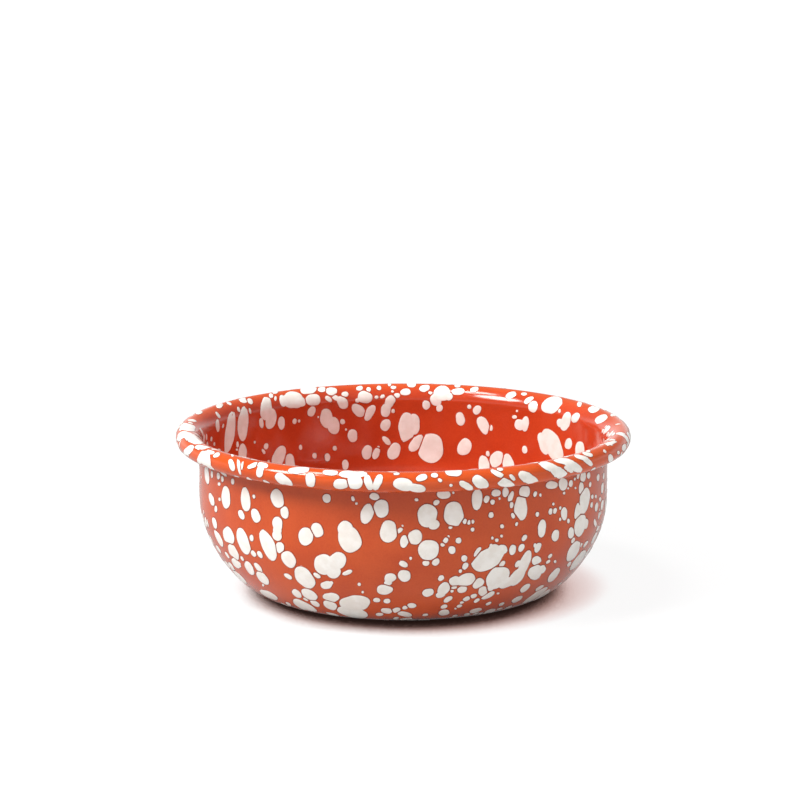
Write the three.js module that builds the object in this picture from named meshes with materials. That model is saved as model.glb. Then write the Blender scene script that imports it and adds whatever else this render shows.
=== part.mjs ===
// Enamel bowl: a pressed steel shell with a rolled rim, coated all over in fired glass enamel.
// Millimetres, +Z up, origin on the axis at the level the foot stands on.
import * as THREE from "three";

// Finished sizes, measured over the enamel
const RIM_DIAMETER = 159;
const RIM_OVERHANG = 8; // how far the rim stands out past the upright wall, all round
const WALL_DIAMETER = RIM_DIAMETER - 2 * RIM_OVERHANG;
const HEIGHT = 57;
const SHOULDER_HEIGHT = 32; // the curved flank ends here and the upright wall begins
const FOOT_DIAMETER = 97; // outer edge of the flat ring that the bowl stands on
const BEAD_DIAMETER = 6.7; // the rolled rim, seen in section

// The shallow recess pressed up into the base, inside the foot ring
const RECESS_DIAMETER = 74;
const RECESS_DEPTH = 0.8;
const RECESS_STEP_WIDTH = 6;

// Material thicknesses
const STEEL_GAUGE = 0.6;
const ENAMEL_THICKNESS = 0.25; // ground coat and colour coat fused together, on each side

// The steel rolls on past the bottom of the bead, back towards the wall
const CURL_TUCK = THREE.MathUtils.degToRad(75);

// Length of the flank's curve handles against its width and height: 0.55 would be a quarter ellipse
const FLANK_FULLNESS = 0.44;

// Facets round the axis
const TURN_FACETS = 48;

// The middle of the steel lies this far below the finished surface, on both sides
const SKIN_DEPTH = STEEL_GAUGE / 2 + ENAMEL_THICKNESS;

const enamel = new THREE.MeshStandardMaterial({ color: 0xc8502c, roughness: 0.12, metalness: 0 });
const steel = new THREE.MeshStandardMaterial({ color: 0x8a8c8e, roughness: 0.45, metalness: 1 });

// The middle line of the steel in section, from the axis out along the base, up the wall and round
// the rolled rim. Each stretch joins the next without a corner.
function sectionStretches() {
  const wallRadius = WALL_DIAMETER / 2 - SKIN_DEPTH;
  const footRadius = FOOT_DIAMETER / 2;
  const recessRadius = RECESS_DIAMETER / 2;
  const footLevel = SKIN_DEPTH;
  const recessLevel = footLevel + RECESS_DEPTH;
  const beadRadius = BEAD_DIAMETER / 2 - SKIN_DEPTH;
  const beadCentre = new THREE.Vector2((RIM_DIAMETER - BEAD_DIAMETER) / 2, HEIGHT - BEAD_DIAMETER / 2);
  const lipRadius = beadCentre.x - wallRadius;
  const lipCentre = new THREE.Vector2(beadCentre.x, HEIGHT - SKIN_DEPTH - lipRadius);

  const recessFloor = new THREE.LineCurve(
    new THREE.Vector2(0, recessLevel),
    new THREE.Vector2(recessRadius - RECESS_STEP_WIDTH, recessLevel),
  );
  const recessStep = new THREE.CubicBezierCurve(
    recessFloor.v2,
    new THREE.Vector2(recessRadius - RECESS_STEP_WIDTH / 2, recessLevel),
    new THREE.Vector2(recessRadius - RECESS_STEP_WIDTH / 2, footLevel),
    new THREE.Vector2(recessRadius, footLevel),
  );
  const footRing = new THREE.LineCurve(recessStep.v3, new THREE.Vector2(footRadius, footLevel));
  const shoulder = new THREE.Vector2(wallRadius, SHOULDER_HEIGHT);
  const flank = new THREE.CubicBezierCurve(
    footRing.v2,
    new THREE.Vector2(footRadius + FLANK_FULLNESS * (wallRadius - footRadius), footLevel),
    new THREE.Vector2(wallRadius, shoulder.y - FLANK_FULLNESS * (shoulder.y - footLevel)),
    shoulder,
  );
  const wall = new THREE.LineCurve(shoulder, new THREE.Vector2(wallRadius, lipCentre.y));
  const lipArc = (from, to) =>
    new THREE.EllipseCurve(lipCentre.x, lipCentre.y, lipRadius, lipRadius, from, to, true);
  const throat = lipArc(Math.PI, 0.75 * Math.PI);
  const crest = lipArc(0.75 * Math.PI, 0.5 * Math.PI);
  const bead = new THREE.EllipseCurve(
    beadCentre.x,
    beadCentre.y,
    beadRadius,
    beadRadius,
    0.5 * Math.PI,
    -0.5 * Math.PI - CURL_TUCK,
    true,
  );
  return [
    { name: "recessFloor", curve: recessFloor, steps: 1 },
    { name: "recessStep", curve: recessStep, steps: 3 },
    { name: "footRing", curve: footRing, steps: 1 },
    { name: "flank", curve: flank, steps: 9 },
    { name: "wall", curve: wall, steps: 1 },
    { name: "throat", curve: throat, steps: 2 },
    { name: "crest", curve: crest, steps: 2 },
    { name: "bead", curve: bead, steps: 8 },
  ];
}

// A station is a point of the middle line with the direction that leaves the bowl's outside there.
function stationAt(curve, share) {
  const tangent = curve.getTangent(share);
  return { point: curve.getPoint(share), outward: new THREE.Vector2(tangent.y, -tangent.x) };
}

const stations = [];
const firstOf = {};
const lastOf = {};
for (const { name, curve, steps } of sectionStretches()) {
  if (stations.length === 0) stations.push(stationAt(curve, 0));
  firstOf[name] = stations.length - 1;
  for (let step = 1; step <= steps; step++) stations.push(stationAt(curve, step / steps));
  lastOf[name] = stations.length - 1;
}

// The stations from the start of one stretch to the end of another.
function stationsBetween(from, to) {
  return stations.slice(firstOf[from], lastOf[to] + 1);
}

// The section's line at a distance from the middle of the steel: above 0 is the bowl's outside.
function offsetLine(line, distance) {
  return line.map(({ point, outward }) => point.clone().addScaledVector(outward, distance));
}

// The closed outline of a layer between two distances, ready to turn about the axis.
function layerOutline(line, innerDistance, outerDistance) {
  return [...offsetLine(line, outerDistance), ...offsetLine(line, innerDistance).reverse()];
}

// Turns an outline about the axis. One that doesn't start on the axis is closed on itself.
function turned(name, outline, material) {
  const onAxis = outline[0].x === 0;
  const profile = onAxis ? outline : [...outline, outline[0]];
  const geometry = new THREE.LatheGeometry(profile, TURN_FACETS).rotateX(Math.PI / 2);
  const mesh = new THREE.Mesh(geometry, material);
  mesh.name = name;
  return mesh;
}

// One pressing: base, wall and the hollow curl of the rim, whose mouth faces the wall.
function steelShell() {
  const line = stationsBetween("recessFloor", "bead");
  return turned("steel_shell", layerOutline(line, -STEEL_GAUGE / 2, STEEL_GAUGE / 2), steel);
}

// Enamel on one side of the steel, along part of its section.
function coat(name, side, from, to) {
  const distances = [side * (STEEL_GAUGE / 2), side * SKIN_DEPTH].sort((a, b) => a - b);
  return turned(name, layerOutline(stationsBetween(from, to), ...distances), enamel);
}

// The rim's coat covers the outside of the bead and laps over the cut edge where the curl ends.
function rimCoat() {
  const line = stationsBetween("throat", "bead");
  const edge = line.at(-1);
  const along = new THREE.Vector2(-edge.outward.y, edge.outward.x);
  const lap = { point: edge.point.clone().addScaledVector(along, ENAMEL_THICKNESS), outward: edge.outward };
  const outline = [
    ...offsetLine(line, -STEEL_GAUGE / 2),
    ...offsetLine([edge, lap], STEEL_GAUGE / 2),
    ...offsetLine([...line, lap], -SKIN_DEPTH).reverse(),
  ];
  return turned("rim_enamel", outline, enamel);
}

const OUTSIDE = 1;
const INSIDE = -1;

const bowl = new THREE.Group();
bowl.add(
  steelShell(),
  coat("base_enamel", OUTSIDE, "recessFloor", "footRing"),
  coat("outer_enamel", OUTSIDE, "flank", "throat"),
  coat("inner_enamel", INSIDE, "recessFloor", "wall"),
  rimCoat(),
);

export default bowl;
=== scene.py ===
"""Looks of the enamel bowl: smooth glass coats, cream splatter drops, studio floor, light and camera.

Metres throughout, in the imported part's frame: +Z up, origin on the axis at the level of the foot.
"""

import logging
import math
import random
from dataclasses import dataclass, field
from enum import Enum
from functools import cached_property
from typing import NamedTuple

import bmesh
import bpy
import numpy as np
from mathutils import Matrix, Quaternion, Vector
from mathutils.bvhtree import BVHTree


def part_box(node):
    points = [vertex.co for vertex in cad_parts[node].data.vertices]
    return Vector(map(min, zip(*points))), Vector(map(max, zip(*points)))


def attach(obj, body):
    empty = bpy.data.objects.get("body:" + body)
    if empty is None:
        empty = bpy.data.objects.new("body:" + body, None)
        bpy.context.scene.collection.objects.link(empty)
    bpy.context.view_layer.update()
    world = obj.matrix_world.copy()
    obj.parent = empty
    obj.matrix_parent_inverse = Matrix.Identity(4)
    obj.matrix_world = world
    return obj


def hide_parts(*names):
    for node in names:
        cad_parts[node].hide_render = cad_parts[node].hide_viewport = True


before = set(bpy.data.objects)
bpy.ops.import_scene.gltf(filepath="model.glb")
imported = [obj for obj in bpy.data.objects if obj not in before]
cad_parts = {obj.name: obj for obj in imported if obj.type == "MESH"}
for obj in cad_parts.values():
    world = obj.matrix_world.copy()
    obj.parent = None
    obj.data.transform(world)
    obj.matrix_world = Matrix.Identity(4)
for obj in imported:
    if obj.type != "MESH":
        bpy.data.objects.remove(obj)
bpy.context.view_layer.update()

LOG = logging.getLogger("enamel_bowl")

MM = 0.001
FULL_TURN = 2 * math.pi
TURN_STEPS = 144  # facets round the axis
SHARP_ANGLE = math.radians(40)
WELD = 0.0001 * MM  # points nearer than this are made one

PHOTO_SIDE = 811  # pixels, both ways

Colour = tuple[float, float, float, float]
Stops = tuple[tuple[float, Colour], ...]  # places along a ramp, each with its colour
Numbers = float | np.ndarray

WHITE: Colour = (1.0, 1.0, 1.0, 1.0)
BLACK: Colour = (0.0, 0.0, 0.0, 1.0)

# Splatter drops read off the photograph, in its pixels: centre x and y, half length, half width,
# and lean, the tilt of the long way from upright in degrees, above 0 with its top to the right.

INSIDE_DROPS = (
    (243, 424, 17.5, 5, 3), (230, 432, 22, 4.5, 8), (250, 411, 3, 1, -15),
    (238.7, 409.5, 2.7, 1.3, -20), (217.5, 425.5, 6.5, 1.8, -3), (218, 415, 3.6, 1.3, -35),
    (223, 426, 2.2, 0.9, 15), (206.5, 437, 3, 0.8, 0), (211.3, 439, 2.2, 1, 5),
    (214.3, 444, 1.8, 0.9, 0), (261.3, 423, 5, 2.1, -5), (254.7, 442.2, 1.4, 1, 0),
    (219, 450, 1.6, 1.2, 90), (237.5, 444.7, 3.2, 1.2, 0), (237, 449.5, 1.3, 1.2, 0),
    (242.5, 453, 9.5, 4.1, -3), (232.5, 455, 2, 1.2, 0), (266, 408.5, 12.5, 5.3, 5),
    (271, 419, 10.5, 5, 8), (271, 395.5, 2.6, 2, 0), (275.5, 398.5, 2.6, 1.1, 0),
    (281.3, 423, 6.8, 3.2, 0), (293, 400, 10, 8.5, 90), (300, 402, 5.5, 5, 90), (283, 401, 6, 3.2, -15),
    (294.5, 421.3, 2.7, 2, 15), (299, 421, 1.6, 1.2, 0), (313, 399.7, 7.2, 6, 90),
    (311.5, 411.5, 5.3, 3.6, 20), (318.3, 417, 1, 0.9, 0), (328.5, 399, 4, 2.2, -50),
    (331.5, 391.3, 5.6, 3.9, 90), (345, 394.3, 3.3, 2.7, 90), (342.5, 402.5, 7, 4.8, -35),
    (336, 398, 4.5, 2.3, -65), (326.5, 418.5, 9.7, 6.4, -5), (333.3, 425.5, 8.8, 6, -5),
    (342.5, 421.7, 2.6, 2.4, 0), (346, 429.5, 1.2, 1, 0), (352.5, 435.7, 6.2, 4.8, 0),
    (357.5, 400.5, 2.2, 2, 0), (358.5, 410.5, 8, 5, -50), (369.5, 412.8, 8.5, 4.2, 30),
    (365, 397, 7, 6.4, 90), (368.5, 389.7, 2.5, 2.2, 0), (376.5, 397.3, 2, 1.6, 90),
    (382.5, 396.5, 2.5, 1.7, 65), (390, 401.5, 6.7, 4.6, 25), (386, 410, 6.8, 5, 10),
    (393, 411, 2, 1.8, 0), (392.5, 391.5, 1.3, 1.1, 90), (397, 395.5, 2.9, 2.4, 90),
    (405.5, 392, 5, 3.3, 80), (424.5, 388.3, 5.3, 3.2, 78), (442, 393.5, 8.5, 7.5, 90),
    (436, 399.5, 6.5, 5.5, 0), (449, 396.5, 4, 3.5, 0), (439.5, 408, 3.6, 3.2, 0),
    (430.5, 393, 2, 1.5, 90), (426.2, 405, 4.6, 3.7, 5), (385.5, 425, 6.2, 4.6, 20),
    (406.5, 427.5, 15.5, 7.6, 3), (414, 424, 10.5, 5.6, -5), (416.5, 443, 10, 5.3, 42),
    (431, 448.5, 14.2, 12.5, 15), (386.5, 440.7, 5.5, 2.6, -45), (394, 451.3, 8.7, 5.8, 20),
    (367, 452.3, 7.5, 4.8, 10), (376, 453.5, 6.3, 3.2, 20), (378.5, 447, 1.2, 1, 90),
    (458, 391.5, 6.5, 3.3, 85), (469.3, 406.8, 2.1, 1.9, 0), (477, 410, 4.9, 3.6, 35),
    (460.3, 419, 6.6, 4.4, -12), (483.5, 425.3, 9.3, 5.3, -25), (491, 428, 2.9, 1.7, 0),
    (517, 411, 1.2, 1.1, 0), (514.5, 417, 2.5, 1.7, 90), (520, 424.8, 5.4, 5.4, 20),
    (525.2, 423.8, 7.6, 3.5, 5), (528.7, 400.3, 5.2, 2.7, 60), (533, 406.5, 5.6, 4.7, 0),
    (511, 395, 5.3, 3, 70), (552, 405, 11, 7.5, 60), (559.3, 410.8, 1.9, 1.5, 0),
    (565.7, 421.5, 9.4, 4.6, 15), (560.5, 423, 4, 3.8, 0), (575.5, 417.7, 5.3, 3.6, 30),
    (464.5, 447, 9, 6.4, 25), (484, 464.5, 9, 5.5, 0), (487.8, 453.8, 2.8, 1.8, 0),
    (496.7, 459, 8.6, 6.3, 30), (508, 463, 9, 5.6, -15), (524.7, 449.7, 3.8, 2.6, 0),
    (453.5, 471.5, 8, 5, 90), (552.5, 445, 18.5, 8, -27), (543.5, 443.5, 11.5, 4.6, -18),
    (568.5, 443.8, 5.2, 3.6, 10), (580, 451, 9.5, 4.6, 0), (588, 451, 2, 1.5, 90),
    (266, 446.3, 3.2, 2.1, 10), (263.5, 451.5, 2.7, 1.4, -30), (278.5, 457.5, 12.5, 5.7, 18),
    (290, 462.5, 8.5, 4.6, -5), (300.5, 447.3, 2.6, 1.5, 0), (314.5, 455.7, 2.8, 2.1, 0),
    (327.3, 457.3, 4, 2.7, 0), (334.7, 448.3, 2.3, 2.1, 0), (345.3, 464.7, 4.9, 3.2, 0),
    (268.5, 461.5, 1.5, 1.2, 0),
)

RIM_DROPS = (
    (219.5, 405.5, 3.5, 2.5, 60), (229, 403.3, 2.8, 1.3, -60), (243, 400, 4, 2.8, -60),
    (250, 401.3, 3.2, 2.3, -45), (275, 392.3, 2.5, 1.5, 80), (308.5, 389.5, 7.8, 5, 80),
    (322, 389.5, 4.2, 2.4, 85), (359.5, 388.3, 3.4, 2.2, 80), (379, 388, 2.2, 2.1, 0),
    (389.5, 384.5, 1.8, 1.5, 0), (393.5, 387.5, 2.8, 1.6, 90), (411.5, 384.5, 4.4, 2.8, 90),
    (457.5, 386, 3, 1.4, 90), (474.3, 389.5, 4.3, 2.4, 75), (524, 394, 2.8, 1.4, 85),
    (579.5, 404.2, 2.6, 2.2, 0), (594, 409, 6, 3.3, 75), (601, 419, 6.8, 3.6, 65),
    (199, 412.5, 3.2, 2, 75), (216.5, 455, 3.5, 2.2, 60), (341, 484, 7.5, 5, 90),
    (354.5, 481.5, 8, 7.5, 90), (396.5, 473.8, 2.9, 1.3, 90), (403.5, 484.5, 10.5, 6, -80),
    (416, 488, 9.5, 4, -80), (421.7, 477.7, 5.6, 3.2, 70), (434.5, 475.3, 3.6, 2.2, 90),
    (440, 480.3, 2.4, 1.6, -60), (451, 485.3, 1.7, 1.3, 90), (500, 469.5, 3.2, 1.6, 90),
    (512.3, 477.5, 3.9, 1.8, -40), (610.5, 458.5, 4.1, 2.4, -10), (604.7, 451.3, 1.9, 1.2, -45),
    (618.3, 452.5, 1.6, 1.4, 0), (624, 447.5, 3.5, 2, 20),
)

# Streaks drawn across the rim, in the same pixels: from x and y, to x and y, and full width.
RIM_STREAKS = (
    (180, 426, 194, 428.5, 7), (177, 438, 187, 434, 8), (185, 434.5, 200, 442.5, 8),
    (184, 454, 193, 446.5, 6), (192, 446, 209, 448.5, 4), (199.5, 462, 204, 452.5, 7),
    (206, 452.5, 206.5, 469, 8.5), (203, 451, 214, 453, 4), (230, 460, 233.5, 470, 5),
    (238, 459.5, 240.5, 474, 3), (243, 461, 241, 471, 2), (248, 467.5, 258, 463.5, 4),
    (257, 464, 267, 466, 5), (261, 466, 259, 476, 6.5), (220.5, 471.5, 227, 476, 2),
    (247, 478, 252.5, 481, 2), (263.5, 480.5, 269.5, 483.5, 2), (277, 475, 290, 485.5, 9),
    (289, 471, 308, 469.5, 6), (310.5, 474.5, 310.5, 485.5, 9), (324, 472.5, 337, 473, 5),
    (340, 474.5, 365, 473.5, 7), (366, 475.5, 370.5, 489, 7), (380.5, 475.5, 375, 489, 7),
    (460.5, 482.5, 471.5, 488.7, 6), (474.5, 478, 486, 487, 10.5), (491, 470, 505, 477.5, 5),
    (499.5, 480.5, 512.5, 487, 9), (520, 474, 536, 482.5, 9.5), (541, 463, 558, 470.5, 7.5),
    (552, 468, 566.5, 478, 9.5), (562, 464.5, 573, 472.5, 3.5), (555, 459.5, 570, 462.5, 5.5),
    (564, 460.5, 580.5, 470.5, 8), (575, 456, 588, 459, 4), (583, 457.5, 592, 465, 4.5),
    (583, 452.5, 592, 455.5, 4), (591.5, 470.5, 595, 468, 2), (601, 446.5, 617, 441, 3),
    (608.5, 436.5, 613, 430.5, 2.2), (612, 436, 615, 432, 1.8),
)

OUTSIDE_DROPS = (
    (207, 475, 8.7, 2.2, -5), (212, 474.5, 3.5, 1, 0), (218.5, 476, 3.2, 1.6, 0),
    (222.5, 479, 3, 1.2, -5), (219.3, 484, 1.6, 1.3, 0), (232.8, 481.5, 3, 1.5, 0),
    (211.7, 499.5, 6.4, 2.2, -15), (219.7, 499.3, 1.7, 1.1, 0), (226, 497.5, 11.4, 4.1, -4),
    (216, 509, 3.2, 1.3, 0), (245.7, 499.7, 12.4, 4.4, -6), (254, 496.5, 2, 1.3, -15),
    (277.3, 498.5, 9.6, 6, -20), (326.7, 498.3, 4.5, 3.9, 0), (353, 498.7, 2.6, 1.6, -15),
    (356.5, 503.5, 1.3, 1.2, 0), (374.5, 496.5, 5, 3.4, -80), (416.5, 499.7, 1.8, 1.5, 90),
    (443.5, 494.5, 6.8, 4.2, 90), (436.3, 502.5, 3.3, 2.3, 55), (453.3, 492.7, 1.2, 1.1, 0),
    (477, 499.3, 10.5, 5, 6), (486.5, 499.2, 3.6, 2.7, 25), (492.5, 502, 2.5, 2.1, 15),
    (496, 493, 4.6, 3.4, 90), (499.5, 498.5, 1.3, 1.1, 0), (505.5, 492.3, 5, 3, 5),
    (510.7, 496.5, 5.7, 2.4, 20), (511.5, 505, 3.1, 1.8, 5), (524.5, 492, 6.2, 5.2, 0),
    (520.5, 507.5, 13, 6.4, -5), (535, 494, 2.7, 1.7, 20), (540.3, 495, 1.7, 1.1, 0),
    (551.5, 485, 6.2, 3.6, 85), (563, 484.3, 5.9, 4.5, 0), (570.7, 483.5, 3.5, 1.9, 5),
    (574.7, 479, 1.5, 1, 0), (578, 475.5, 3.4, 1.3, 10), (575.3, 488, 1.1, 1, 0),
    (568, 488.3, 1.1, 1, 0), (564, 493, 1.5, 1.2, 0), (583, 476.5, 5.6, 2.6, 5),
    (581, 488, 6.3, 2.2, 5), (588.5, 475.5, 3.1, 1.7, 0), (590, 484.5, 2.6, 1.1, 5),
    (598, 477.5, 3.3, 1.3, 5), (603.5, 476, 3, 0.8, 5), (584.5, 500, 12, 5, 8),
    (577.7, 511, 8.5, 3, 12), (582, 509, 5, 4, 15), (580, 525, 11.2, 5.4, 15),
    (585.7, 524, 5.2, 2.2, 10), (592.3, 496.7, 2.1, 1.2, 0), (595.7, 496.5, 1.7, 1, 0),
    (600, 499.3, 2.1, 1, 0), (596.3, 507, 4.2, 1.5, 8), (591.5, 505, 2.6, 1.2, 8),
    (602, 505, 5, 1.2, 8), (553.3, 504, 1.4, 1.2, 0), (550.5, 511.5, 3, 2, 5),
    (554.8, 510.8, 3, 1.8, 20), (560.2, 508, 1.6, 1.2, 0), (564, 513.7, 6.4, 3.1, 0),
    (560, 519.3, 1.8, 1.1, 0), (568.3, 521, 2.4, 1.2, 0), (555.3, 535.5, 5.8, 3.5, 8),
    (571, 533, 5.6, 3, 5), (573, 540.3, 3, 1.5, 20), (595, 523, 3.9, 1.2, -12),
    (597.5, 528.5, 2.9, 0.9, 25), (594, 538, 6.2, 1.2, 25), (585.5, 544, 3.8, 1.1, 35),
    (581, 545, 2.2, 0.9, 25), (573.3, 551, 11.5, 4.5, 28), (578, 560, 12, 3, 37),
    (569, 564, 2.9, 1.3, 30), (550, 556, 2.7, 1.4, 40), (548, 561.7, 2.4, 1.4, 50),
    (555, 561.5, 1.4, 1.2, 0), (553.7, 575, 8.4, 3.2, 40), (241.5, 514.7, 4.9, 2.6, -20),
    (255.8, 515.7, 6.9, 4.2, -20), (206, 522, 4.7, 1, -8), (214.7, 523, 5.5, 2, -12),
    (228.7, 535.7, 8.9, 5, -20), (243.5, 541.5, 13.7, 5.3, -18), (251.7, 538, 3.4, 1.8, -5),
    (219, 538.5, 8.7, 2.3, -25), (218.5, 549, 4.2, 1, -32), (233.5, 552, 9, 3.8, -28),
    (236.5, 562.7, 6, 3.4, -32), (227.3, 555, 3.8, 1, -32), (242.3, 558.5, 2.5, 1.2, -30),
    (253.5, 553.5, 3.6, 2, -40), (260, 554.5, 4, 2, -32), (231.5, 566.5, 5, 1.4, -33),
    (249.5, 568, 7.7, 3.2, -30), (258.3, 567.7, 5.8, 2.3, -37), (240, 566, 1.4, 1.1, -30),
    (284.7, 512.5, 6, 3.9, -12), (277.5, 524, 7.2, 5, -5), (277.2, 535.3, 5.4, 4.6, -10),
    (268.5, 545.5, 16.5, 6.2, -22), (277.4, 529.8, 4.4, 4.2, 0), (264, 538, 8.5, 3.2, -8),
    (280, 547.5, 5.5, 4, -10), (288.7, 559.2, 8.8, 6.3, -38), (306, 536.2, 8.7, 7.5, 0),
    (317, 530.2, 7.3, 5.8, -15), (345.5, 529, 8, 7.5, 0), (349.5, 539, 13.5, 11, -20),
    (324.5, 564.5, 10.5, 9.8, -30), (337, 561, 9.2, 8.3, 60), (333, 571, 8, 6.5, -50),
    (347.5, 572.5, 5.3, 2, 70), (317, 575.5, 4, 2, -60), (367.3, 513.3, 10.8, 6, 18),
    (381.2, 508.5, 8.7, 7.5, -10), (388.7, 531.5, 11.5, 8.3, 8), (399.8, 530.3, 4, 2, 50),
    (402.5, 526, 1.3, 1.1, 0), (404.3, 541.2, 6.6, 3.9, 15), (415, 537.2, 7.3, 7, 0),
    (428.5, 550, 10.4, 10, 0), (426, 563, 3.4, 2.8, 90), (435.8, 562, 4.2, 3, 50),
    (427.3, 515.5, 11.2, 9.8, 10), (434, 524.8, 5.6, 4.5, 60), (453.7, 514.3, 12.8, 9.3, 0),
    (450.5, 527.3, 2, 1.6, 60), (445.5, 540.5, 3.6, 2.2, 35), (442.8, 544.5, 2.4, 1.9, 70),
    (448.5, 536.5, 1.4, 1.2, 0), (451.9, 550, 3.8, 3.5, 0), (403.4, 564, 4.4, 2.9, -65),
    (410.7, 558.3, 1.5, 1.3, 0), (464.7, 521.3, 2.5, 2.2, 0), (469, 522.3, 2.4, 1.8, 20),
    (472.5, 521.7, 2.1, 1.7, 10), (472.5, 529.5, 2, 1.8, 0), (491, 515, 2.8, 2.5, 0),
    (458.5, 540.5, 2.9, 2.7, 0), (464.2, 558.3, 3.2, 2.8, 0), (465.2, 566, 3.7, 2.6, 35),
    (460.3, 571, 1.8, 1.6, 0), (492.3, 538, 1.5, 1.4, 0), (496.7, 540.2, 1.8, 1.7, 0),
    (501.5, 536, 1.5, 1.4, 0), (502, 526.3, 2, 1.9, 0), (513, 515.5, 2.8, 1.9, -10),
    (516.5, 524, 2, 1.3, 20), (537.2, 514.2, 2.3, 1.7, 0), (541.8, 528.3, 8.8, 3.8, 8),
    (524.3, 537.8, 3.6, 2.1, 38), (521.3, 547.7, 4.3, 2.5, 25), (512.5, 549.7, 5, 3.2, 15),
    (491, 545.3, 1.6, 1.4, 0), (488, 559, 17.5, 10, 63), (501.7, 549.7, 5.7, 4.6, 80),
    (494, 548.5, 6, 4, 80), (477.5, 551.7, 5.7, 2, 33), (502, 564, 4, 2.1, 38),
    (518, 563.7, 4, 2.3, 45), (524.5, 563, 14.5, 4.5, 22), (537.7, 547.5, 5, 2.8, 25),
    (535, 545.5, 2, 1.6, 0), (536.5, 560.7, 4.6, 4.5, 0), (535, 572, 8, 6.3, 20),
    (542, 569.3, 4.2, 3.2, 35), (262.7, 577.7, 8.3, 3.8, -42), (263.3, 585, 1.3, 1.1, 0),
    (240, 577, 9, 1.7, -45), (269, 594.7, 9.5, 2.8, -63), (267, 599.3, 8, 1.5, -62),
    (304.7, 577.5, 13.2, 7.2, -42), (288.2, 576.3, 4.6, 2, -60), (326.5, 585, 5.6, 3.8, 85),
    (331, 583, 2.2, 1.8, 60), (359.3, 584.3, 1.7, 1.5, 0), (362.7, 592, 1.3, 1.2, 0),
    (296.8, 593.5, 5.5, 3, -52), (309.5, 594.7, 8.6, 4.7, -55), (305.7, 599.3, 2.7, 1, -60),
    (304.7, 606, 12.7, 3.9, -62), (315, 603.2, 5.2, 2.4, -58), (288.5, 604, 2.9, 1.2, -55),
    (331, 597.3, 8.3, 4.3, -85), (330.3, 605, 6.9, 4.2, -68), (355, 603, 15.2, 7.4, 90),
    (352.5, 612.3, 16.2, 4.7, -78), (332.5, 615.5, 7.7, 1.8, -72), (353, 619, 6.2, 1.3, -80),
    (404.3, 575.7, 6.2, 5.7, 90), (390.2, 577.7, 5.8, 4.3, 85), (388, 582.7, 4, 2.6, 85),
    (384.7, 589.5, 7.7, 5, 90), (376.7, 600, 3.4, 2.2, -85), (387, 601, 3.2, 2.4, 90),
    (411.7, 605.5, 4.3, 2.5, 90), (405, 607.5, 2.6, 1.8, 80), (386.7, 610.7, 5.6, 2.7, -85),
    (396, 610, 4.5, 2.2, 75), (379.5, 614.3, 3.6, 1.6, 90), (404.7, 614, 6.9, 2.4, -80),
    (396, 618.2, 2.8, 1.2, 80), (395.5, 620.2, 4, 1.1, 85), (406, 618.8, 6, 1.1, 85),
    (398.5, 622.5, 4.5, 0.9, -85), (428, 592.5, 5.8, 3.7, 72), (441, 578, 3.3, 2.3, 50),
    (425.3, 614.8, 2.8, 1.2, 80), (443.7, 588.7, 7.2, 5, 40), (440.5, 594.7, 5, 2.7, 75),
    (448, 599.2, 4.7, 2.3, 60), (444, 606.5, 3.5, 1.8, 72), (444, 612.5, 5.3, 2.8, 80),
    (452, 591, 1.7, 1.4, 45), (447, 620.3, 5, 1.2, 82), (368, 620.6, 4.2, 1, -85),
    (414, 621.3, 3.7, 0.8, 85), (466, 579.7, 9.7, 6, 68), (455, 581, 5.7, 4.7, 75),
    (478.3, 583.3, 6.2, 4.3, 45), (462.2, 589.3, 5, 3.3, 75), (454, 587.5, 2.9, 1.4, 75),
    (483, 591.2, 5, 4.5, 20), (490.5, 588, 3.6, 2.6, 62), (488, 595.3, 7.3, 2.5, 65),
    (498, 593.3, 1.4, 1, 80), (497.5, 577.3, 13, 9.3, 40), (517, 576.5, 11, 5.3, 42),
    (507, 582.5, 9.5, 4.3, 68), (525, 588, 5.7, 2.7, 48), (517, 599.2, 5.6, 2.2, 62),
    (539.3, 588, 4.7, 1.5, 55), (535, 595.7, 15, 2.4, 56), (466.5, 598.7, 4, 2, 62),
    (473.5, 596, 3.5, 1.9, 68), (476.7, 600.5, 3, 1.6, 58), (462, 602.3, 2.4, 1.1, 65),
    (459.3, 606, 2.7, 1.4, 72), (488.5, 603.5, 2.9, 1.3, 62), (501.5, 604, 2.9, 1.2, 62),
    (475.5, 610.5, 6.2, 2, 73), (489, 611.5, 6.7, 1.7, 68), (467, 614.3, 3.2, 1.1, 75),
    (455, 615.8, 2.7, 1, 75), (455.5, 608.3, 1.2, 1, 0), (474, 617.7, 5.7, 1.2, 75),
)


def screen_colour(red: int, green: int, blue: int) -> Colour:
    """Turn a colour as a screen shows it into the linear one that shaders take, by the usual curve.

    Args:
        red: Red, 0 to 255.
        green: Green, 0 to 255.
        blue: Blue, 0 to 255.

    Returns:
        The linear colour, opaque.
    """
    shares = (red / 255, green / 255, blue / 255)
    linear = [s / 12.92 if s <= 0.04045 else ((s + 0.055) / 1.055) ** 2.4 for s in shares]
    return (*linear, 1.0)


class Side(Enum):
    """The face of the steel that a coat of enamel lies on."""

    OUTSIDE = 1
    INSIDE = -1


@dataclass(frozen=True)
class Station:
    """A point of the steel's middle line in section, with the way that leaves the bowl's outside."""

    point: Vector
    outward: Vector

    def offset(self, distance: float) -> Vector:
        """Give the point at a distance from the middle line, above 0 on the bowl's outside."""
        return self.point + self.outward * distance


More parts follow.
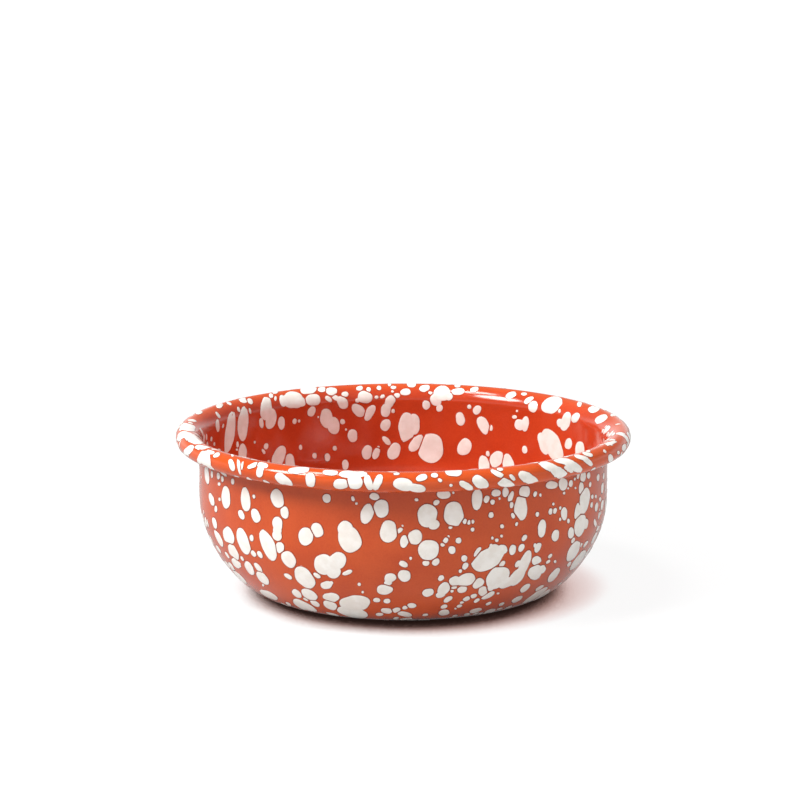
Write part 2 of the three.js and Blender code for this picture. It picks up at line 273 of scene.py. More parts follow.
class Stretch:
    """One stretch of the steel's middle line, in section: x from the axis, y up."""

    nudge = 0.001

    def at(self, share: float) -> Vector:
        """Give the point at a share of the stretch."""
        raise NotImplementedError

    def stations(self, steps: int) -> list[Station]:
        """Give even stations along the stretch.

        Args:
            steps: How many steps the stretch is cut into.

        Returns:
            The stations, both ends among them.
        """
        made = []
        for step in range(steps + 1):
            share = step / steps
            ahead = self.at(min(share + self.nudge, 1.0)) - self.at(max(share - self.nudge, 0.0))
            ahead.normalize()
            made.append(Station(self.at(share), Vector((ahead.y, -ahead.x))))
        return made


@dataclass(frozen=True)
class Straight(Stretch):
    """A straight stretch."""

    start: Vector
    end: Vector

    def at(self, share: float) -> Vector:
        """Give the point at a share of the stretch."""
        return self.start.lerp(self.end, share)


@dataclass(frozen=True)
class Bend(Stretch):
    """A cubic curve between two ends with a handle each."""

    start: Vector
    start_handle: Vector
    end_handle: Vector
    end: Vector

    def at(self, share: float) -> Vector:
        """Give the point at a share of the stretch.

        Args:
            share: From 0 at the start to 1 at the end.

        Returns:
            The point.
        """
        first = self.start.lerp(self.start_handle, share)
        middle = self.start_handle.lerp(self.end_handle, share)
        last = self.end_handle.lerp(self.end, share)
        return first.lerp(middle, share).lerp(middle.lerp(last, share), share)


@dataclass(frozen=True)
class Arc(Stretch):
    """A stretch of a circle, from one angle to another."""

    centre: Vector
    radius: float
    begin: float
    finish: float

    def at(self, share: float) -> Vector:
        """Give the point at a share of the stretch."""
        angle = self.begin + (self.finish - self.begin) * share
        return self.centre + Vector((math.cos(angle), math.sin(angle))) * self.radius


@dataclass(frozen=True)
class BowlSection:
    """The bowl's section: sizes that the frame gives, and the rest as the real bowl has them."""

    rim_radius: float
    height: float
    wall_radius: float  # to the middle of the steel
    foot_radius: float
    recess_depth: float
    steel_gauge: float = 0.6 * MM
    coat: float = 0.25 * MM
    bead_diameter: float = 6.7 * MM
    shoulder: float = 32 * MM
    recess_radius: float = 37 * MM
    recess_step: float = 6 * MM
    flank_fullness: float = 0.44
    curl_tuck: float = math.radians(75)
    collar: float = 1.0 * MM  # straight wall that the rim's coat takes in below the lip
    foot_edge: float = 0.5 * MM  # flat ring that the outside's coat takes in

    @classmethod
    def from_frame(cls) -> "BowlSection":
        """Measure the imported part.

        Returns:
            The section that fits the frame's coats.
        """
        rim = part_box("rim_enamel")[1]
        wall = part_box("inner_enamel")[1]
        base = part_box("base_enamel")[1]
        return cls(
            rim_radius=rim.x,
            height=rim.z,
            wall_radius=wall.x + cls.steel_gauge / 2,
            foot_radius=base.x,
            recess_depth=base.z - cls.coat,
        )

    @property
    def skin_depth(self) -> float:
        """How far the middle of the steel lies below the finished surface."""
        return self.steel_gauge / 2 + self.coat

    def stretches(self) -> dict[str, tuple[Stretch, int]]:
        """Lay out the middle line from the axis to the end of the curl.

        Returns:
            Each stretch by name, in order, with the steps that it is cut into.
        """
        level = self.skin_depth
        raised = level + self.recess_depth
        bead_radius = self.bead_diameter / 2 - self.skin_depth
        bead = Vector((self.rim_radius - self.bead_diameter / 2, self.height - self.bead_diameter / 2))
        lip_radius = bead.x - self.wall_radius
        lip = Vector((bead.x, self.height - self.skin_depth - lip_radius))
        recess_edge = Vector((self.recess_radius - self.recess_step, raised))
        ring_start = Vector((self.recess_radius, level))
        ring_end = Vector((self.foot_radius - self.foot_edge, level))
        foot = Vector((self.foot_radius, level))
        shoulder = Vector((self.wall_radius, self.shoulder))
        collar = Vector((self.wall_radius, lip.y - self.collar))
        half_step = Vector((self.recess_step / 2, 0))
        recess_step = Bend(recess_edge, recess_edge + half_step, ring_start - half_step, ring_start)
        flank_out = Vector((self.flank_fullness * (self.wall_radius - self.foot_radius), 0))
        flank_up = Vector((0, self.flank_fullness * (self.shoulder - level)))
        quarter = math.pi / 2
        return {
            "recess_floor": (Straight(Vector((0, raised)), recess_edge), 6),
            "recess_step": (recess_step, 10),
            "foot_ring": (Straight(ring_start, ring_end), 3),
            "foot_edge": (Straight(ring_end, foot), 1),
            "flank": (Bend(foot, foot + flank_out, shoulder - flank_up, shoulder), 48),
            "wall": (Straight(shoulder, collar), 6),
            "collar": (Straight(collar, Vector((self.wall_radius, lip.y))), 1),
            "throat": (Arc(lip, lip_radius, math.pi, 1.5 * quarter), 12),
            "crest": (Arc(lip, lip_radius, 1.5 * quarter, quarter), 12),
            "bead": (Arc(bead, bead_radius, quarter, -quarter - self.curl_tuck), 48),
        }

    def stations(self, first: str, last: str) -> list[Station]:
        """Give the stations from the start of one stretch to the end of another.

        Args:
            first: Name of the first stretch.
            last: Name of the last stretch.

        Returns:
            The stations in order, with none twice.
        """
        made: list[Station] = []
        stretches = self.stretches()
        names = list(stretches)
        for name in names[names.index(first) : names.index(last) + 1]:
            stretch, steps = stretches[name]
            stations = stretch.stations(steps)
            made += stations[1:] if made else stations
        return made


class Meridian:
    """The line of a finished surface in section, measured along itself from the axis."""

    pitch = 0.05 * MM  # of its measured points
    ground = 0.02 * MM  # lowest height of a place over it

    def __init__(self, stations: list[Station], side: Side, depth: float) -> None:
        """Measure the line.

        Args:
            stations: The steel's middle line under the surface.
            side: The face of the steel that the surface is on.
            depth: How far the middle line lies below the surface.
        """
        points = np.array([station.offset(side.value * depth) for station in stations])
        normals = np.array([station.outward * side.value for station in stations])
        along = np.hypot(*np.diff(points, axis=0).T).cumsum()
        coarse = np.concatenate([[0.0], along])
        self.lengths = np.arange(0.0, coarse[-1], self.pitch)
        self.radii = np.interp(self.lengths, coarse, points[:, 0])
        self.heights = np.interp(self.lengths, coarse, points[:, 1])
        self.normal_out = np.interp(self.lengths, coarse, normals[:, 0])
        self.normal_up = np.interp(self.lengths, coarse, normals[:, 1])

    def radius(self, length: Numbers) -> Numbers:
        """Give the distance from the axis at a length along the line."""
        return np.interp(length, self.lengths, self.radii)

    def nearest(self, radius: float, height: float) -> tuple[float, float]:
        """Find the spot of the line that is nearest to a point of the section.

        Args:
            radius: The point's distance from the axis.
            height: The point's height.

        Returns:
            The length along the line, and the gap to the point.
        """
        gaps = np.hypot(self.radii - radius, self.heights - height)
        index = int(gaps.argmin())
        return float(self.lengths[index]), float(gaps[index])

    def place(self, length: Numbers, turn: Numbers, lift: Numbers) -> np.ndarray:
        """Give places on or over the surface, none of them as low as what the bowl stands on.

        Args:
            length: Length along the line.
            turn: Angle round the axis.
            lift: Height over the surface.

        Returns:
            The places in the part's frame, x, y and z last.
        """
        out = self.radius(length) + lift * np.interp(length, self.lengths, self.normal_out)
        up = np.interp(length, self.lengths, self.heights)
        up = up + lift * np.interp(length, self.lengths, self.normal_up)
        return np.stack([out * np.cos(turn), out * np.sin(turn), np.maximum(up, self.ground)], axis=-1)


class Mixing(Enum):
    """How two colours are mixed."""

    BLEND = "MIX"
    MULTIPLY = "MULTIPLY"


class Socket:
    """A node's output: arithmetic on it adds Math nodes."""

    def __init__(self, sheet: "Sheet", output: bpy.types.NodeSocket) -> None:
        """Wrap an output of a node on a sheet."""
        self.sheet = sheet
        self.output = output

    def _math(self, operation: str, left: "Socket | float", right: "Socket | float") -> "Socket":
        """Add one Math node and give its result."""
        return self.sheet.node("ShaderNodeMath", {"operation": operation}, {0: left, 1: right})

    def __add__(self, other: "Socket | float") -> "Socket":
        """Add."""
        return self._math("ADD", self, other)

    def __radd__(self, other: float) -> "Socket":
        """Add, from a number."""
        return self._math("ADD", other, self)

    def __sub__(self, other: "Socket | float") -> "Socket":
        """Subtract."""
        return self._math("SUBTRACT", self, other)

    def __rsub__(self, other: float) -> "Socket":
        """Subtract from a number."""
        return self._math("SUBTRACT", other, self)

    def __mul__(self, other: "Socket | float") -> "Socket":
        """Multiply."""
        return self._math("MULTIPLY", self, other)

    def __rmul__(self, other: float) -> "Socket":
        """Multiply a number."""
        return self._math("MULTIPLY", other, self)


class Sheet:
    """A node tree that a finish is written on."""

    mix_inputs = (0, 6, 7)  # factor and the two colours of a Mix node
    mix_result = 2
    noise_roughness = 0.55

    def __init__(self, tree: bpy.types.NodeTree) -> None:
        """Clear a tree to write on."""
        self.tree = tree
        tree.nodes.clear()

    def node(
        self,
        kind: str,
        settings: dict[str, object] | None = None,
        inputs: dict[str | int, object] | None = None,
        output: str | int = 0,
    ) -> Socket | None:
        """Add a node.

        Args:
            kind: The node's type.
            settings: Its settings, with a ramp's stops as pairs of place and colour.
            inputs: Values or sockets for its inputs, by name or number.
            output: The output that is wanted.

        Returns:
            That output, or nothing from a node that has none.
        """
        node = self.tree.nodes.new(kind)
        for name, value in (settings or {}).items():
            if name == "stops":
                self._set_stops(node.color_ramp, value)
            else:
                setattr(node, name, value)
        for name, value in (inputs or {}).items():
            if isinstance(value, Socket):
                self.tree.links.new(value.output, node.inputs[name])
            else:
                node.inputs[name].default_value = value
        return Socket(self, node.outputs[output]) if node.outputs else None

    @staticmethod
    def _set_stops(ramp: bpy.types.ColorRamp, stops: Stops) -> None:
        """Set a ramp's stops.

        Args:
            ramp: The ramp.
            stops: Pairs of place and colour.
        """
        while len(ramp.elements) < len(stops):
            ramp.elements.new(1.0)
        for element, (place, colour) in zip(ramp.elements, stops):
            element.position = place
            element.color = colour

    def attribute(self, name: str) -> Socket:
        """Give a number that a mesh carries at its points."""
        return self.node("ShaderNodeAttribute", {"attribute_name": name}, output="Fac")

    def noise(self, where: Socket, scale: float, detail: float = 1.0) -> Socket:
        """Add a noise pattern.

        Args:
            where: The coordinates that it follows.
            scale: Its waves to the metre.
            detail: How many finer layers it has.

        Returns:
            The pattern, from about 0 to 1.
        """
        inputs = {"Vector": where, "Scale": scale, "Detail": detail, "Roughness": self.noise_roughness}
        return self.node("ShaderNodeTexNoise", inputs=inputs)

    def spread(self, value: Socket, low: float, high: float) -> Socket:
        """Stretch a range of values smoothly to 0 to 1.

        Args:
            value: The value.
            low: What becomes 0.
            high: What becomes 1.

        Returns:
            The stretched value, limited to 0 to 1.
        """
        inputs = {"Value": value, "From Min": low, "From Max": high}
        return self.node("ShaderNodeMapRange", {"interpolation_type": "SMOOTHSTEP"}, inputs)

    def blend(
        self,
        factor: Socket | float,
        first: Colour | Socket,
        second: Colour | Socket,
        mixing: Mixing = Mixing.BLEND,
    ) -> Socket:
        """Mix two colours.

        Args:
            factor: The second colour's share.
            first: The first colour.
            second: The second colour.
            mixing: How they are mixed.

        Returns:
            The mixed colour.
        """
        settings = {"data_type": "RGBA", "blend_type": mixing.value}
        inputs = dict(zip(self.mix_inputs, (factor, first, second)))
        return self.node("ShaderNodeMix", settings, inputs, self.mix_result)

    def bump(self, height: Socket, strength: float, distance: float) -> Socket:
        """Add relief from a height.

        Args:
            height: The relief's height, from 0 to 1.
            strength: How much of the relief shows.
            distance: The real height of 1.

        Returns:
            The bumped normal.
        """
        inputs = {"Strength": strength, "Distance": distance, "Height": height}
        return self.node("ShaderNodeBump", inputs=inputs)


def new_sheet(name: str) -> tuple[bpy.types.Material, Sheet]:
    """Make an empty material.

    Args:
        name: The material's name.

    Returns:
        The material and the sheet of its nodes.
    """
    material = bpy.data.materials.new(name)
    material.use_nodes = True
    return material, Sheet(material.node_tree)


@dataclass(frozen=True)
class Finish:
    """What a piece of the bowl is dressed in."""

    name: str

    def inputs(self, sheet: Sheet, where: Socket) -> dict[str, object]:
        """Write the patterns of the finish, and give the shader's inputs."""
        raise NotImplementedError

    def material(self) -> bpy.types.Material:
        """Write the finish.

        Returns:
            The material.
        """
        material, sheet = new_sheet(self.name)
        where = sheet.node("ShaderNodeTexCoord", output="Object")
        shader = sheet.node("ShaderNodeBsdfPrincipled", inputs=self.inputs(sheet, where))
        sheet.node("ShaderNodeOutputMaterial", inputs={"Surface": shader})
        return material


@dataclass(frozen=True)
class OrangeEnamel(Finish):
    """Burnt orange glass, fired on: a little cloudy in colour, with a faint orange-peel surface."""

    name: str = "orange_enamel"
    deep: Colour = screen_colour(193, 72, 27)
    light: Colour = screen_colour(206, 84, 34)
    cloud_scale: float = 60.0  # of the patterns, in waves to the metre
    grain_scale: float = 1500.0
    fine_peel_scale: float = 420.0
    broad_peel_scale: float = 110.0
    cloud_detail: float = 3.0
    cloud_share: float = 0.7  # and the grain has the rest
    cloud_range: tuple[float, float] = (0.3, 0.7)  # what turns from the deep colour to the light one
    gloss: float = 0.09
    gloss_change: float = 0.06
    fine_peel_share: float = 0.4
    peel_strength: float = 0.5
    peel_height: float = 0.02 * MM

    def colour(self, sheet: Sheet, where: Socket, clouds: Socket) -> Socket:
        """Give the glass its colour.

        Args:
            sheet: The sheet that the finish is written on.
            where: Object coordinates, not used here.
            clouds: The share of the light colour, from 0 to 1.

        Returns:
            The colour.
        """
        return sheet.blend(clouds, self.deep, self.light)

    def inputs(self, sheet: Sheet, where: Socket) -> dict[str, object]:
        """Write the patterns of the finish.

        Args:
            sheet: The sheet that they are written on.
            where: Object coordinates.

        Returns:
            The shader's inputs.
        """
        clouds = sheet.noise(where, self.cloud_scale, self.cloud_detail)
        grain = sheet.noise(where, self.grain_scale)
        cloudy = clouds * self.cloud_share + grain * (1 - self.cloud_share)
        fine_peel = sheet.noise(where, self.fine_peel_scale) * self.fine_peel_share
        broad_peel = sheet.noise(where, self.broad_peel_scale) * (1 - self.fine_peel_share)
        return {
            "Base Color": self.colour(sheet, where, sheet.spread(cloudy, *self.cloud_range)),
            "Roughness": grain * self.gloss_change + self.gloss,
            "Normal": sheet.bump(fine_peel + broad_peel, self.peel_strength, self.peel_height),
        }


@dataclass(frozen=True)
class PaintedLipLightEnamel(OrangeEnamel):
    """The same glass inside and on the rim: redder inside, and painted lighter over the lip, as painted
    light where the lamps fall on the rim's bead.
    """

    name: str = "painted_lip_light_enamel"
    # painted lighter than the outside's glass: painted light on the rim's bead
    deep: Colour = screen_colour(203, 74, 23)
    light: Colour = screen_colour(214, 85, 29)
    inside_deep: Colour = screen_colour(190, 61, 29)
    inside_light: Colour = screen_colour(204, 71, 36)
    turn_start: float = 71 * MM  # distances from the axis between which the colour turns to the lip's painted light
    turn_end: float = 76 * MM

    def colour(self, sheet: Sheet, where: Socket, clouds: Socket) -> Socket:
        """Give the glass its colour, which turns over the lip to a lighter one: painted light on the
        rim's bead.

        Args:
            sheet: The sheet that the finish is written on.
            where: Object coordinates.
            clouds: The share of the light colour, from 0 to 1.

        Returns:
            The colour.
        """
        flattened = {0: where, 1: (1, 1, 0)}
        level = sheet.node("ShaderNodeVectorMath", {"operation": "MULTIPLY"}, flattened)
        from_axis = sheet.node("ShaderNodeVectorMath", {"operation": "LENGTH"}, {0: level}, "Value")
        inside = sheet.blend(clouds, self.inside_deep, self.inside_light)
        # painted light: over the lip the colour turns to the lighter rim colours
        lip_light_share = sheet.spread(from_axis, self.turn_start, self.turn_end)
        return sheet.blend(lip_light_share, inside, super().colour(sheet, where, clouds))


@dataclass(frozen=True)
class CreamEnamel(Finish):
    """Cream glass of the splatter drops, warmer where it is thin, with a dark line where it ends."""

    name: str = "cream_enamel"
    body: Colour = screen_colour(249, 246, 240)
    cloud: Colour = screen_colour(241, 236, 228)
    thin: Colour = screen_colour(236, 196, 174)
    line: Colour = screen_colour(138, 42, 17)
    cloud_scale: float = 300.0  # of the patterns, in waves to the metre
    peel_scale: float = 380.0
    cloud_detail: float = 3.0
    cloud_range: tuple[float, float] = (0.35, 0.65)  # what turns from the body's colour to the cloud's
    gloss: float = 0.12
    gloss_change: float = 0.08
    thin_share: float = 0.3  # how thin the glass gets towards its edge
    thin_end: float = 0.45  # values of the edge attribute: 0 in a drop's middle, 1 where it ends
    line_range: tuple[float, float] = (0.46, 0.62)
    peel_strength: float = 0.4
    peel_height: float = 0.02 * MM

    def inputs(self, sheet: Sheet, where: Socket) -> dict[str, object]:
        """Write the patterns of the finish.

        Args:
            sheet: The sheet that they are written on.
            where: Object coordinates.

        Returns:
            The shader's inputs.
        """
        edge = sheet.attribute("edge")
        thin = sheet.attribute("thin")
        clouds = sheet.noise(where, self.cloud_scale, self.cloud_detail)
        cream = sheet.blend(sheet.spread(clouds, *self.cloud_range), self.body, self.cloud)
        fringe = sheet.spread(edge, 0.0, self.thin_end) * self.thin_share
        milky = sheet.blend(sheet.spread(fringe + thin, 0.0, 1.0), cream, self.thin)
        peel = sheet.noise(where, self.peel_scale)
        return {
            "Base Color": sheet.blend(sheet.spread(edge, *self.line_range), milky, self.line),
            "Roughness": clouds * self.gloss_change + self.gloss,
            "Normal": sheet.bump(peel, self.peel_strength, self.peel_height),
        }


@dataclass(frozen=True)
class PressedSteel(Finish):
    """Bare sheet steel, dulled by the kiln, as it shows inside the curl of the rim."""

    name: str = "pressed_steel"
    bright: Colour = screen_colour(150, 150, 150)
    scale: Colour = screen_colour(84, 78, 74)
    patch_scale: float = 160.0  # of the patterns, in waves to the metre
    grain_scale: float = 2600.0
    patch_detail: float = 4.0
    grain_detail: float = 2.0
    patch_range: tuple[float, float] = (0.4, 0.65)  # what turns from bright steel to kiln scale
    gloss: float = 0.35
    gloss_change: float = 0.2
    grain_strength: float = 0.3
    grain_height: float = 0.01 * MM

    def inputs(self, sheet: Sheet, where: Socket) -> dict[str, object]:
        """Write the patterns of the finish.

        Args:
            sheet: The sheet that they are written on.
            where: Object coordinates.

        Returns:
            The shader's inputs.
        """
        patches = sheet.noise(where, self.patch_scale, self.patch_detail)
        grain = sheet.noise(where, self.grain_scale, self.grain_detail)
        scaly = sheet.spread(patches, *self.patch_range)
        return {
            "Base Color": sheet.blend(scaly, self.bright, self.scale),
            "Metallic": 1.0,
            "Roughness": patches * self.gloss_change + self.gloss,
            "Normal": sheet.bump(grain, self.grain_strength, self.grain_height),
        }


def linked(name: str, data: bpy.types.ID) -> bpy.types.Object:
    """Put an object with some data in the scene.

    Args:
        name: The object's name.
        data: Its mesh, lamp or lens.

    Returns:
        The object.
    """
    made = bpy.data.objects.new(name, data)
    bpy.context.collection.objects.link(made)
    return made


def finished_mesh(name: str, bm: bmesh.types.BMesh) -> bpy.types.Mesh:
    """Turn a finished bmesh into a mesh, and free it.

    Args:
        name: The mesh's name.
        bm: The bmesh.

    Returns:
        The mesh.
    """
    mesh = bpy.data.meshes.new(name)
    bm.to_mesh(mesh)
    bm.free()
    return mesh


def link_piece(
    name: str, mesh: bpy.types.Mesh, material: bpy.types.Material
) -> bpy.types.Object:
    """Put a mesh in the scene as a piece of the bowl.

    Args:
        name: The piece's name.
        mesh: Its mesh, in the part's frame.
        material: Its finish.

    Returns:
        The piece.
    """
    mesh.materials.append(material)
    piece = linked(name, mesh)
    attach(piece, "root")
    LOG.info("%s: %d faces", name, len(mesh.polygons))
    return piece


def turned_mesh(name: str, outline: list[Vector]) -> bpy.types.Mesh:
    """Turn an outline about the axis into a closed, smooth mesh.

    Args:
        name: The mesh's name.
        outline: The outline in section. One that starts off the axis is closed on itself.

    Returns:
        The mesh.
    """
    bm = bmesh.new()
    verts = [bm.verts.new((point.x, 0.0, point.y)) for point in outline]
    edges = [bm.edges.new(pair) for pair in zip(verts, verts[1:])]
    if outline[0].x > 0:
        edges.append(bm.edges.new((verts[-1], verts[0])))
    bmesh.ops.spin(
        bm,
        geom=verts + edges,
        cent=(0, 0, 0),
        axis=(0, 0, 1),
        angle=FULL_TURN,
        steps=TURN_STEPS,
        use_merge=True,
    )
    bmesh.ops.remove_doubles(bm, verts=bm.verts, dist=WELD)
    bmesh.ops.recalc_face_normals(bm, faces=bm.faces)
    for face in bm.faces:
        face.smooth = True
    mesh = finished_mesh(name, bm)
    mesh.set_sharp_from_angle(angle=SHARP_ANGLE)
    return mesh


@dataclass
class EnamelledShell:
    """The pressed steel and the four coats of glass on it."""

    section: BowlSection
    enamel: OrangeEnamel = field(default_factory=OrangeEnamel)
    # the glass inside and on the rim, painted lighter over the lip as painted light
    painted_lip_light_enamel: PaintedLipLightEnamel = field(default_factory=PaintedLipLightEnamel)
    steel: PressedSteel = field(default_factory=PressedSteel)

    def build(self) -> list[bpy.types.Object]:
        """Make the steel and its coats.

        Returns:
            The coats, without the steel.
        """
        glass = self.enamel.material()
        # inside and rim glass, with painted light over the lip
        painted_lip_light_glass = self.painted_lip_light_enamel.material()
        half = self.section.steel_gauge / 2
        line = self.section.stations("recess_floor", "bead")
        pressing = turned_mesh("steel_body", self._layer(line, -half, half))
        steel = link_piece("steel_body", pressing, self.steel.material())
        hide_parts("steel_shell")
        base = self._coat(Side.OUTSIDE, "recess_floor", "foot_ring")
        outside = self._coat(Side.OUTSIDE, "foot_edge", "throat")
        inside = self._coat(Side.INSIDE, "recess_floor", "wall")
        outlines = {
            "base_coat": ("base_enamel", glass, base),
            "outside_coat": ("outer_enamel", glass, outside),
            "inside_coat": ("inner_enamel", painted_lip_light_glass, inside),
            "rim_coat": ("rim_enamel", painted_lip_light_glass, self._rim_coat()),
        }
        coats = []
        for name, (node, finish, outline) in outlines.items():
            coat = link_piece(name, turned_mesh(name, outline), finish)
            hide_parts(node)
            coats.append(coat)
        return coats

    @staticmethod
    def _layer(line: list[Station], inner: float, outer: float) -> list[Vector]:
        """Give the outline of a layer between two distances from the middle of the steel."""
        return [s.offset(outer) for s in line] + [s.offset(inner) for s in reversed(line)]

    def _coat(self, side: Side, first: str, last: str) -> list[Vector]:
        """Give the outline of a coat.

        Args:
            side: The face of the steel that it lies on.
            first: Name of the stretch that it starts with.
            last: Name of the stretch that it ends with.

        Returns:
            The outline, in section.
        """
        near = side.value * self.section.steel_gauge / 2
        far = side.value * self.section.skin_depth
        return self._layer(self.section.stations(first, last), near, far)

    def _rim_coat(self) -> list[Vector]:
        """Give the outline of the rim's coat, which laps over the curl's cut edge.

        Returns:
            The outline, in section.
        """
        half = self.section.steel_gauge / 2
        line = self.section.stations("collar", "bead")
        edge = line[-1]
        along = Vector((-edge.outward.y, edge.outward.x))
        lap = Station(edge.point + along * self.section.coat, edge.outward)
        under = [s.offset(-half) for s in line]
        over = [s.offset(-self.section.skin_depth) for s in [*line, lap]]
        return under + [edge.offset(half), lap.offset(half)] + over[::-1]


@dataclass(frozen=True)
class PhotoCamera:
    """The photograph's camera, turned so that a spot of the bowl falls where the photograph has it."""

    aim: Vector = Vector((0, 0, 25 * MM))
    distance: float = 1.0
    elevation: float = math.radians(13.5)
    focal_px: float = 2835.0
    aim_px: tuple[float, float] = (403.3, 513.4)
    sensor: float = 36.0  # millimetres, as lenses are given
    sight: float = 100.0  # how far it sees

    @cached_property
    def eye(self) -> Vector:
        """Where the camera stands."""
        back = Vector((0, -math.cos(self.elevation), math.sin(self.elevation)))
        return self.aim + back * self.distance

    @cached_property
    def turn(self) -> Quaternion:
        """How the camera is turned.

        Returns:
            The turn from looking straight down.
        """
        ahead = (self.aim - self.eye).normalized()
        up = Vector((0, math.sin(self.elevation), math.cos(self.elevation)))
        right_px = PHOTO_SIDE / 2 - self.aim_px[0]
        up_px = self.aim_px[1] - PHOTO_SIDE / 2
        axis = ahead * self.focal_px + Vector((1, 0, 0)) * right_px + up * up_px
        return axis.to_track_quat("-Z", "Y")

    def ray(self, x: float, y: float) -> Vector:
        """Give the way from the camera through a pixel.

        Args:
            x: Pixels from the photograph's left edge.
            y: Pixels from its top edge.

        Returns:
            The direction, of length 1.
        """
        across = (x - PHOTO_SIDE / 2) / self.focal_px
        down = (y - PHOTO_SIDE / 2) / self.focal_px
        return (self.turn @ Vector((across, -down, -1))).normalized()

    def build(self) -> None:
        """Put the camera in the scene."""
        lens = bpy.data.cameras.new("photo_camera")
        lens.sensor_width = self.sensor
        lens.lens = self.focal_px * self.sensor / PHOTO_SIDE
        lens.clip_end = self.sight
        camera = linked("photo_camera", lens)
        camera.location = self.eye
        camera.rotation_mode = "QUATERNION"
        camera.rotation_quaternion = self.turn
        bpy.context.scene.camera = camera


STREAK_END = 6  # a streak runs past each of its ends by its width divided by this
STREAK_FULLNESS = 2.8


class Drop(NamedTuple):
    """A splatter drop as the photograph shows it, in its pixels."""

    x: float
    y: float
    long: float
    wide: float
    lean: float
    fullness: float = 2.2  # 2 is an ellipse, more is squarer

    def edge(self, angle: float) -> tuple[float, float]:
        """Give a pixel on the drop's edge.

        Args:
            angle: The angle from the drop's long way.

        Returns:
            The pixel's x and y.
        """
        power = 2 / self.fullness
        along = math.copysign(abs(math.cos(angle)) ** power, math.cos(angle)) * self.long
        across = math.copysign(abs(math.sin(angle)) ** power, math.sin(angle)) * self.wide
        lean = math.radians(self.lean)
        x = self.x + along * math.sin(lean) + across * math.cos(lean)
        y = self.y - along * math.cos(lean) + across * math.sin(lean)
        return x, y

    @classmethod
    def streak(cls, from_x: float, from_y: float, to_x: float, to_y: float, width: float) -> "Drop":
        """Make a drop from a streak.

        Args:
            from_x: Pixels from the photograph's left edge to the streak's first end.
            from_y: Pixels from its top edge.
            to_x: Pixels from the left edge to the other end.
            to_y: Pixels from the top edge.
            width: The streak's full width.

        Returns:
            The drop.
        """
        way = Vector((to_x - from_x, to_y - from_y))
        lean = math.degrees(math.atan2(way.x, -way.y))
        middle = ((from_x + to_x) / 2, (from_y + to_y) / 2)
        return cls(*middle, way.length / 2 + width / STREAK_END, width / 2, lean, STREAK_FULLNESS)


class Spot(NamedTuple):
    """A spot on one of the bowl's two finished surfaces."""

    face: Meridian
    length: float
    turn: float


SPOKES = 32
SPOKE_ANGLES = np.arange(SPOKES) * FULL_TURN / SPOKES


@dataclass
class Splat:
    """A drop on the bowl: its middle, and how far it reaches along each of its spokes."""

    spot: Spot
    reach: np.ndarray
    lift: float
    thin: float

    narrowing = 0.8  # a surface may get this much narrower round between two drops

    def __post_init__(self) -> None:
        """Measure the drop's longest reach and its distance from the axis."""
        self.span = float(self.reach.max())
        self.radius = float(self.spot.face.radius(self.spot.length))

    def may_touch(self, other: "Splat", margin: float) -> bool:
        """Tell whether another drop on the same surface is near enough to touch.

        Args:
            other: The other drop.
            margin: Room between them that counts as touching.

        Returns:
            Whether they may touch.
        """
        room = self.span + other.span + margin
        if abs(self.spot.length - other.spot.length) > room:
            return False
        around = math.remainder(self.spot.turn - other.spot.turn, FULL_TURN)
        return abs(around) * self.narrowing * self.radius < room

    def reach_at(self, angle: float) -> float:
        """Give the reach at any angle: 0 runs round the bowl, a quarter turn along its section."""
        return float(np.interp(angle, SPOKE_ANGLES, self.reach, period=FULL_TURN))

    def place(self, angle: Numbers, distance: Numbers) -> tuple[Numbers, Numbers]:
        """Give places of the drop, unrolled.

        Args:
            angle: The way from the drop's middle.
            distance: How far from the middle.

        Returns:
            Length along the section, and angle round the axis.
        """
        length = self.spot.length + distance * np.sin(angle)
        around = distance * np.cos(angle) / np.maximum(self.spot.face.radius(length), MM)
        return length, self.spot.turn + around

    def way_to(self, other: "Splat") -> tuple[float, float]:
        """Find another drop on the same surface.

        Args:
            other: The other drop.

        Returns:
            The angle and the distance to its middle.
        """
        around = math.remainder(other.spot.turn - self.spot.turn, FULL_TURN)
        across = around * (self.radius + other.radius) / 2
        along = other.spot.length - self.spot.length
        return math.atan2(along, across), math.hypot(across, along)

    def trim(self, angle: float, limit: float) -> None:
        """Cut the drop straight.

        Args:
            angle: The way from its middle that the cut is square to.
            limit: The cut's distance from its middle.
        """
        facing = np.cos(SPOKE_ANGLES - angle)
        over = self.reach * facing > limit
        self.reach[over] = limit / facing[over]


class Throw(NamedTuple):
    """A band of a surface that drops are scattered over."""

    face: Meridian
    start: float  # lengths along the surface's line
    end: float
    count: int  # of drops, at most
    largest: float  # reach


